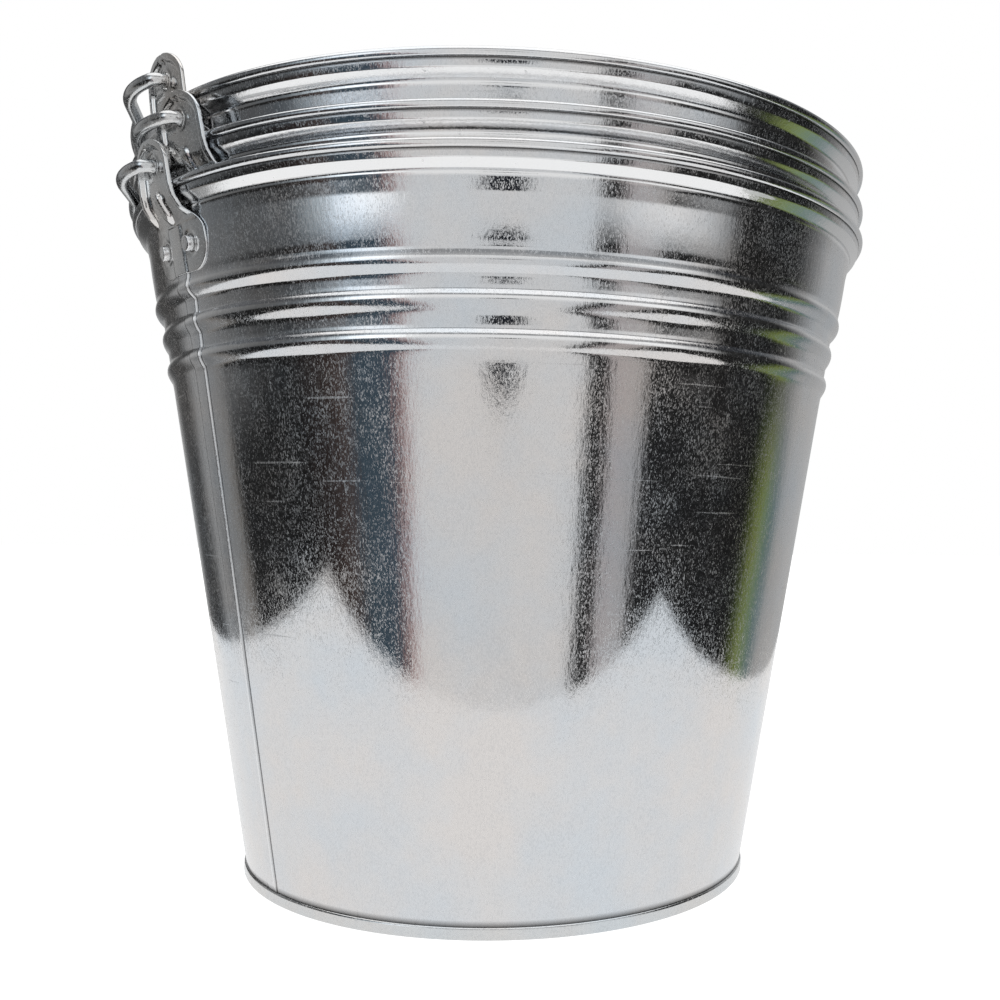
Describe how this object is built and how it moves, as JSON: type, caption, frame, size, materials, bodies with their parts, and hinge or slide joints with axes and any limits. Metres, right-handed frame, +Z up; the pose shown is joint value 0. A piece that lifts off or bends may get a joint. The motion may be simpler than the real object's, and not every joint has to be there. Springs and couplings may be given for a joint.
{
  "type": "florist bucket",
  "caption": "Nested stack of galvanised steel florist buckets: tapered beaded walls, rolled rims, riveted ears and wire bails laid back on the rims.",
  "frame": {"origin": "on the stack's axis, at the underside of the bottom bucket's foot ring", "axes": "+Z up along the axis; +X through the bottom bucket's right ear; +Y towards the side on which the bails lie, away from the camera; the picture looks from -X -Y"},
  "size_m": [0.3186, 0.3015, 0.2967],
  "materials": {
    "wall_sheet": "hot-dip galvanised, bright and faintly mottled",
    "base_sheet": "hot-dip galvanised, bright and faintly mottled",
    "rim_wire": "plain drawn wire",
    "ear_sheet": "pressed and galvanised",
    "rivet_steel": "zinc plated",
    "bail_wire": "galvanised wire, dull"
  },
  "bodies": {
    "bottom_bucket": {"bottom_body": "wall_sheet", "bottom_base_pan": "base_sheet", "bottom_rim_wire": "rim_wire", "bottom_left_ear": "ear_sheet", "bottom_right_ear": "ear_sheet", "bottom_rivets": "rivet_steel"},
    "bottom_bail": {"bottom_bail": "bail_wire"},
    "middle_bucket": {"middle_body": "wall_sheet", "middle_base_pan": "base_sheet", "middle_rim_wire": "rim_wire", "middle_left_ear": "ear_sheet", "middle_right_ear": "ear_sheet", "middle_rivets": "rivet_steel"},
    "middle_bail": {"middle_bail": "bail_wire"},
    "top_bucket": {"top_body": "wall_sheet", "top_base_pan": "base_sheet", "top_rim_wire": "rim_wire", "top_left_ear": "ear_sheet", "top_right_ear": "ear_sheet", "top_rivets": "rivet_steel"},
    "top_bail": {"top_bail": "bail_wire"}
  },
  "joints": [
    {"name": "middle_lift", "type": "slide", "parent": "bottom_bucket", "child": "middle_bucket", "axis": [0, 0, 1], "range_m": [0, 0.27]},
    {"name": "top_lift", "type": "slide", "parent": "middle_bucket", "child": "top_bucket", "axis": [0, 0, 1], "range_m": [0, 0.27]},
    {"name": "bottom_bail_swing", "type": "hinge", "parent": "bottom_bucket", "child": "bottom_bail", "pos_m": [0, 0, 0.2608], "axis": [1, 0, 0], "range_deg": [0, 0.5]},
    {"name": "middle_bail_swing", "type": "hinge", "parent": "middle_bucket", "child": "middle_bail", "pos_m": [0, 0, 0.2725], "axis": [0.9921, 0.1253, 0], "range_deg": [0, 2]},
    {"name": "top_bail_swing", "type": "hinge", "parent": "top_bucket", "child": "top_bail", "pos_m": [0, 0, 0.2882], "axis": [0.9986, 0.0523, 0], "range_deg": [0, 182]}
  ]
}
